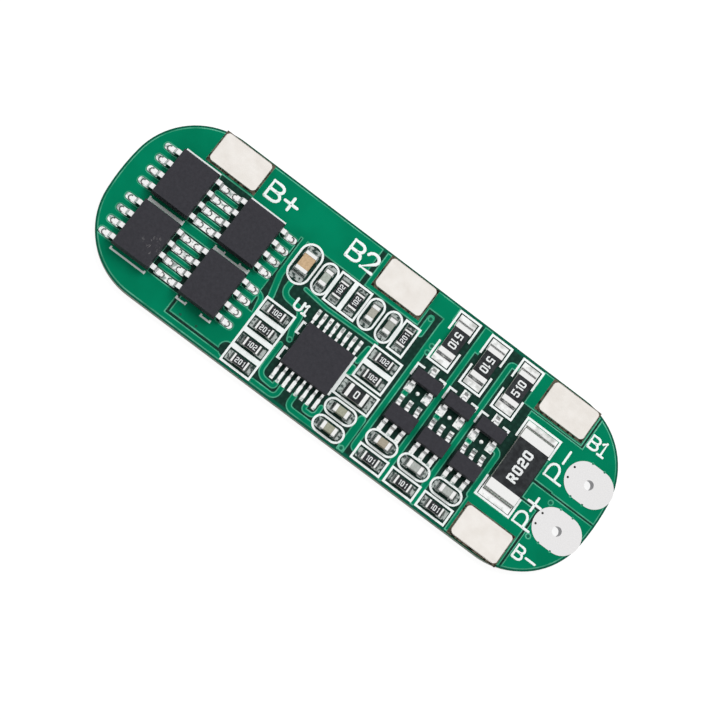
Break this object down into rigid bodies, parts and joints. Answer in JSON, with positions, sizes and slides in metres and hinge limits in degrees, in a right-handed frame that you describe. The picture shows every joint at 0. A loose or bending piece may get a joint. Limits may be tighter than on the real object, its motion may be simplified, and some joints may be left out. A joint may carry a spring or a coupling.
{
  "type": "battery management board",
  "caption": "Slim green circuit board with rounded ends that guards a pack of cells in series, with welded strip tabs along its edges and two plated wire pads at one end.",
  "frame": {"origin": "middle of the board's flat back face", "axes": "+X along the board towards the wire pads, +Y across it towards the three tabs, +Z out of the component side"},
  "size_m": [0.0522, 0.0172, 0.0026],
  "materials": {
    "laminate": "bare glass-epoxy laminate under green solder mask, a little glossy",
    "green_mask": "solder mask over copper, glossy",
    "white_print": "printed ink, matte",
    "tinned_land": "levelled tin, softly uneven",
    "nickel_tab": "nickel-plated strip, fine brushed grain",
    "black_mould": "moulded epoxy, matte",
    "tinned_lead": "tin plate, satin",
    "solder": "bright solder",
    "resistor_glaze": "dark glaze, half gloss",
    "chip_end": "tin plate, satin",
    "orange_ceramic": "fired ceramic, satin",
    "grey_ceramic": "fired ceramic, satin",
    "olive_ceramic": "fired ceramic, satin",
    "tan_ceramic": "fired ceramic, satin"
  },
  "bodies": {
    "root": {"board": "laminate", "masked_copper": "green_mask", "printed_outlines": "white_print", "wire_pad_p_plus": "tinned_land", "wire_pad_p_minus": "tinned_land", "tab_lands": "solder", "tab_b_plus": "nickel_tab", "tab_b2": "nickel_tab", "tab_b1": "nickel_tab", "tab_b_minus": "nickel_tab", "power_fet_1": "black_mould", "power_fet_2": "black_mould", "power_fet_3": "black_mould", "power_fet_4": "black_mould", "power_fet_leads_1": "tinned_lead", "power_fet_leads_2": "tinned_lead", "power_fet_leads_3": "tinned_lead", "power_fet_leads_4": "tinned_lead", "power_fet_solder": "solder", "monitor_chip": "black_mould", "monitor_chip_leads": "tinned_lead", "monitor_chip_solder": "solder", "balance_switch_1": "black_mould", "balance_switch_2": "black_mould", "balance_switch_3": "black_mould", "balance_switch_leads_1": "tinned_lead", "balance_switch_leads_2": "tinned_lead", "balance_switch_leads_3": "tinned_lead", "detector_1": "black_mould", "detector_2": "black_mould", "detector_3": "black_mould", "detector_leads_1": "tinned_lead", "detector_leads_2": "tinned_lead", "detector_leads_3": "tinned_lead", "cell_stage_solder": "solder", "bleed_resistor_1": "resistor_glaze", "bleed_resistor_2": "resistor_glaze", "bleed_resistor_3": "resistor_glaze", "bleed_resistor_ends": "chip_end", "bleed_resistor_solder": "solder", "shunt_resistor": "resistor_glaze", "shunt_resistor_ends": "chip_end", "shunt_resistor_solder": "solder", "filter_capacitor": "orange_ceramic", "filter_capacitor_ends": "chip_end", "row_resistors": "resistor_glaze", "row_resistor_ends": "chip_end", "row_capacitors": "grey_ceramic", "row_capacitor_ends": "chip_end", "gate_resistors": "resistor_glaze", "gate_resistor_ends": "chip_end", "sense_resistors": "resistor_glaze", "sense_resistor_ends": "chip_end", "corner_capacitors": "olive_ceramic", "corner_capacitor_ends": "chip_end", "cell_capacitors": "tan_ceramic", "cell_capacitor_ends": "chip_end", "cell_resistors": "resistor_glaze", "cell_resistor_ends": "chip_end", "small_chip_solder": "solder"}
  },
  "joints": []
}
